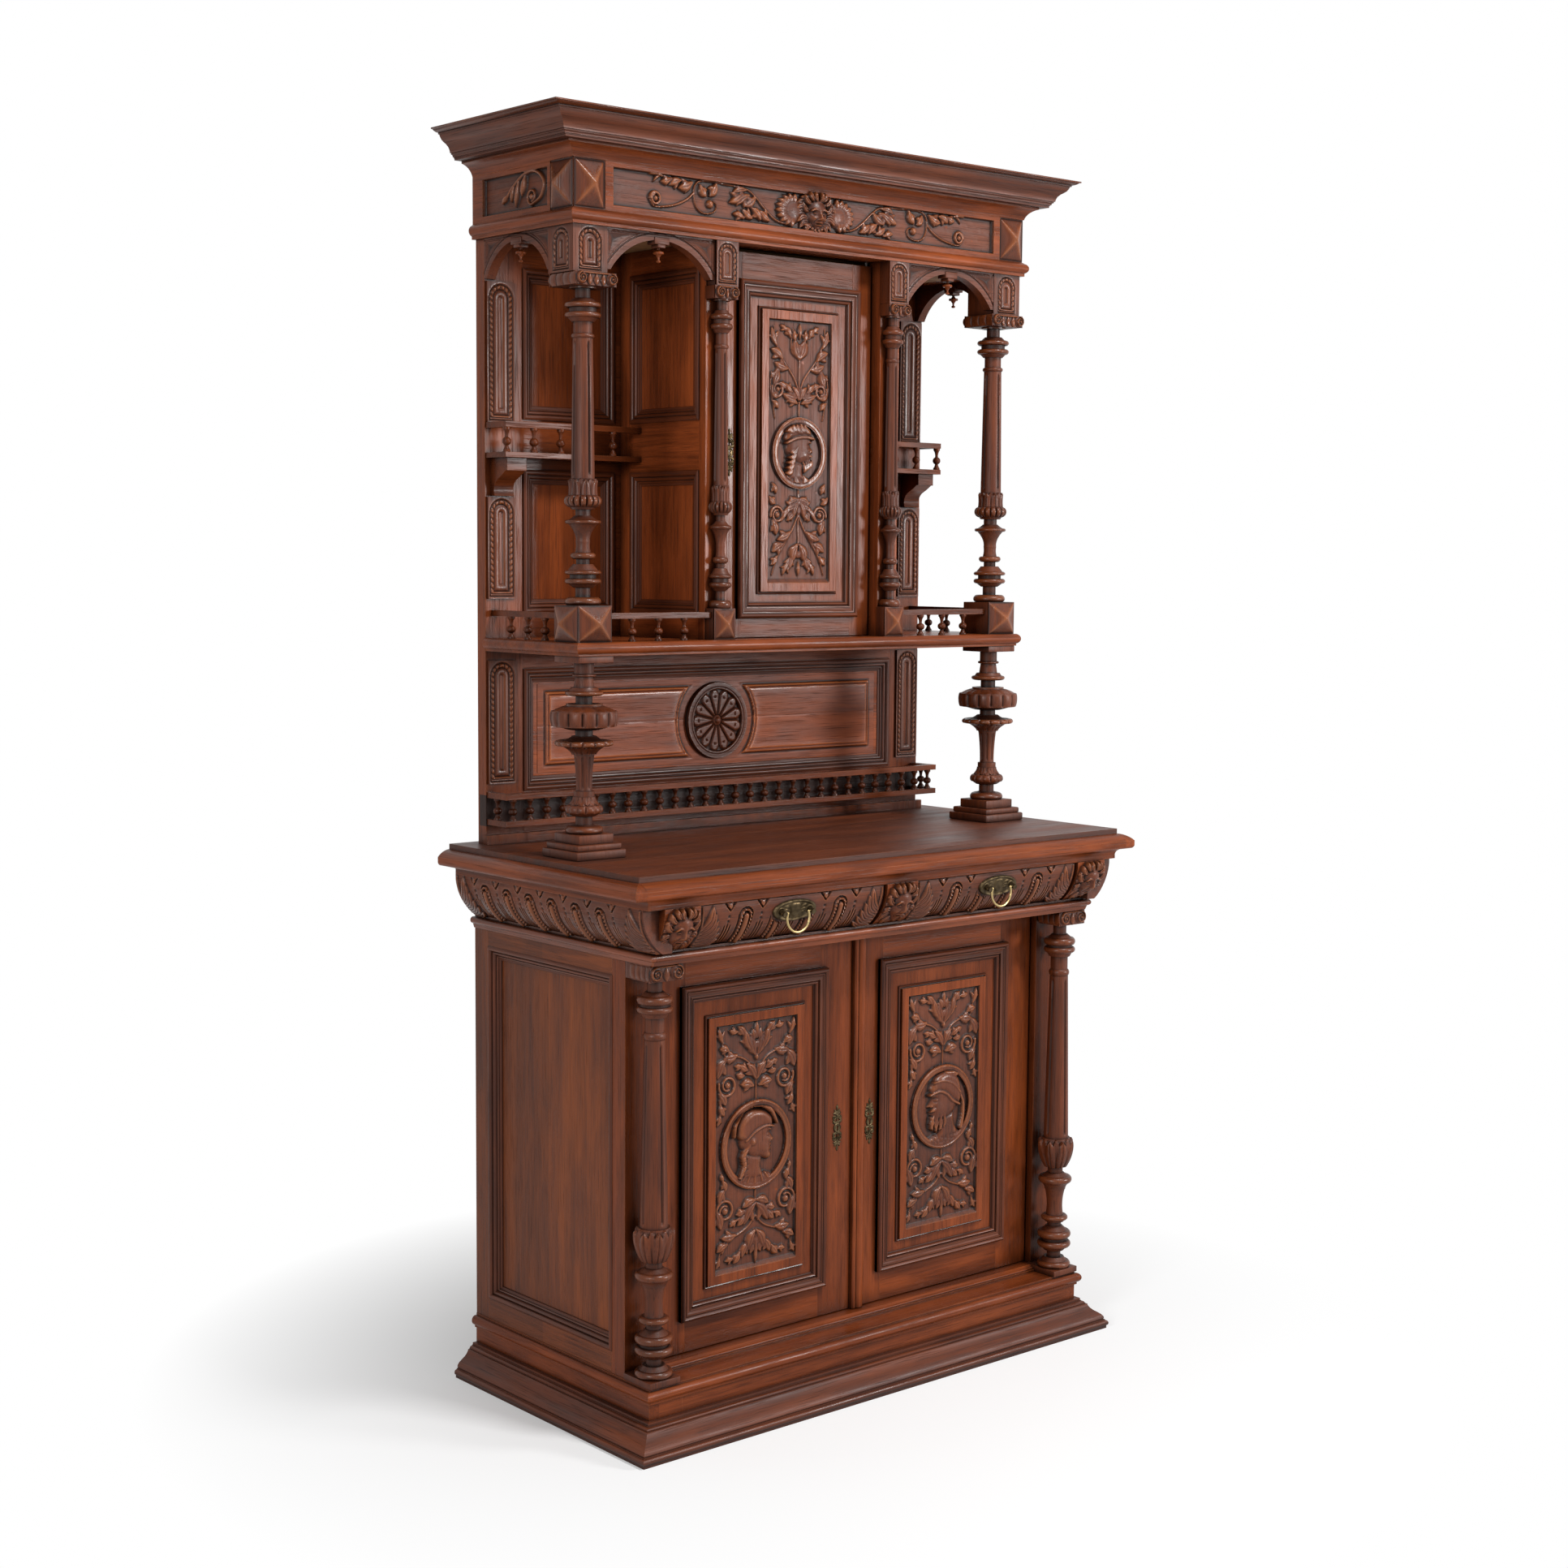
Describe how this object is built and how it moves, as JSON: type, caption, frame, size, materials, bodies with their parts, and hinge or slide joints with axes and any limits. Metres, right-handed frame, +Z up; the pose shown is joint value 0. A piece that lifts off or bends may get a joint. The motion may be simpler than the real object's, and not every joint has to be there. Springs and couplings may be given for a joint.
{
  "type": "serving cabinet",
  "caption": "Tall carved oak serving cabinet with a two-door base, drawers, a table top and an open upper stage of columns, niches and a carved cupboard door.",
  "frame": {"origin": "on the floor under the middle of the cabinet's bounding box", "axes": "+Z up, +X to the viewer's right, the front faces -Y"},
  "size_m": [1.336, 0.631, 2.406],
  "materials": {
    "dark_oak": "satin polished dark oak",
    "carved_oak": "satin carved dark oak",
    "inner_oak": "matt unpolished oak",
    "aged_brass": "aged",
    "iron": "dull"
  },
  "bodies": {
    "case": {"arches": "dark_oak", "back_frame": "dark_oak", "back_gallery": "dark_oak", "back_panels": "dark_oak", "balusters": "dark_oak", "base_frame": "dark_oak", "carved_strips": "carved_oak", "cornice": "dark_oak", "cornice_boards": "inner_oak", "cupboard_case": "dark_oak", "cupboard_shelf": "inner_oak", "door_pivots": "iron", "drawer_guides": "inner_oak", "engaged_columns": "dark_oak", "frieze": "carved_oak", "frieze_mouldings": "dark_oak", "front_posts": "dark_oak", "lower_back": "inner_oak", "lower_columns": "dark_oak", "lower_left_side": "dark_oak", "lower_right_side": "dark_oak", "lower_shelf": "inner_oak", "main_shelf": "dark_oak", "mask_blocks": "carved_oak", "niche_galleries": "dark_oak", "niche_shelves": "dark_oak", "pendants": "dark_oak", "plinth_moulding": "dark_oak", "rosette": "carved_oak", "side_aprons": "carved_oak", "sill_board": "dark_oak", "table_edge": "dark_oak", "table_planks": "dark_oak", "top_cove": "dark_oak", "upper_columns": "dark_oak", "waist_board": "dark_oak"},
    "lower_left_door": {"lower_left_door_frame": "dark_oak", "lower_left_door_panel": "carved_oak", "lower_left_escutcheon": "aged_brass"},
    "lower_right_door": {"lower_right_door_frame": "dark_oak", "lower_right_door_panel": "carved_oak", "door_astragal": "dark_oak", "lower_right_escutcheon": "aged_brass", "lower_lock_case": "iron"},
    "lower_bolt": {"lower_lock_bolt": "iron"},
    "upper_door": {"upper_door_frame": "dark_oak", "upper_door_panel": "carved_oak", "upper_escutcheon": "aged_brass", "upper_lock_case": "iron"},
    "upper_bolt": {"upper_lock_bolt": "iron"},
    "left_drawer": {"left_drawer_front": "carved_oak", "left_drawer_box": "inner_oak", "left_pull_plate": "aged_brass"},
    "right_drawer": {"right_drawer_front": "carved_oak", "right_drawer_box": "inner_oak", "right_pull_plate": "aged_brass"},
    "left_bail": {"left_pull_bail": "aged_brass"},
    "right_bail": {"right_pull_bail": "aged_brass"}
  },
  "joints": [
    {"name": "lower_left_door_hinge", "type": "hinge", "parent": "case", "child": "lower_left_door", "pos_m": [-0.4958, -0.1505, 0.5], "axis": [0, 0, -1], "range_deg": [0, 68]},
    {"name": "lower_right_door_hinge", "type": "hinge", "parent": "case", "child": "lower_right_door", "pos_m": [0.4958, -0.1505, 0.5], "axis": [0, 0, 1], "range_deg": [0, 68]},
    {"name": "upper_door_hinge", "type": "hinge", "parent": "case", "child": "upper_door", "pos_m": [0.1868, 0.0265, 1.8], "axis": [0, 0, 1], "range_deg": [0, 65]},
    {"name": "left_drawer_slide", "type": "slide", "parent": "case", "child": "left_drawer", "axis": [0, -1, 0], "range_m": [0, 0.35]},
    {"name": "right_drawer_slide", "type": "slide", "parent": "case", "child": "right_drawer", "axis": [0, -1, 0], "range_m": [0, 0.35]},
    {"name": "left_bail_swing", "type": "hinge", "parent": "left_drawer", "child": "left_bail", "pos_m": [-0.2655, -0.30287, 0.96852], "axis": [-1, 0, 0], "range_deg": [0, 110]},
    {"name": "right_bail_swing", "type": "hinge", "parent": "right_drawer", "child": "right_bail", "pos_m": [0.2655, -0.30287, 0.96852], "axis": [-1, 0, 0], "range_deg": [0, 110]},
    {"name": "lower_bolt_slide", "type": "slide", "parent": "lower_right_door", "child": "lower_bolt", "axis": [-1, 0, 0], "range_m": [0, 0.009]},
    {"name": "upper_bolt_slide", "type": "slide", "parent": "upper_door", "child": "upper_bolt", "axis": [-1, 0, 0], "range_m": [0, 0.009]}
  ]
}
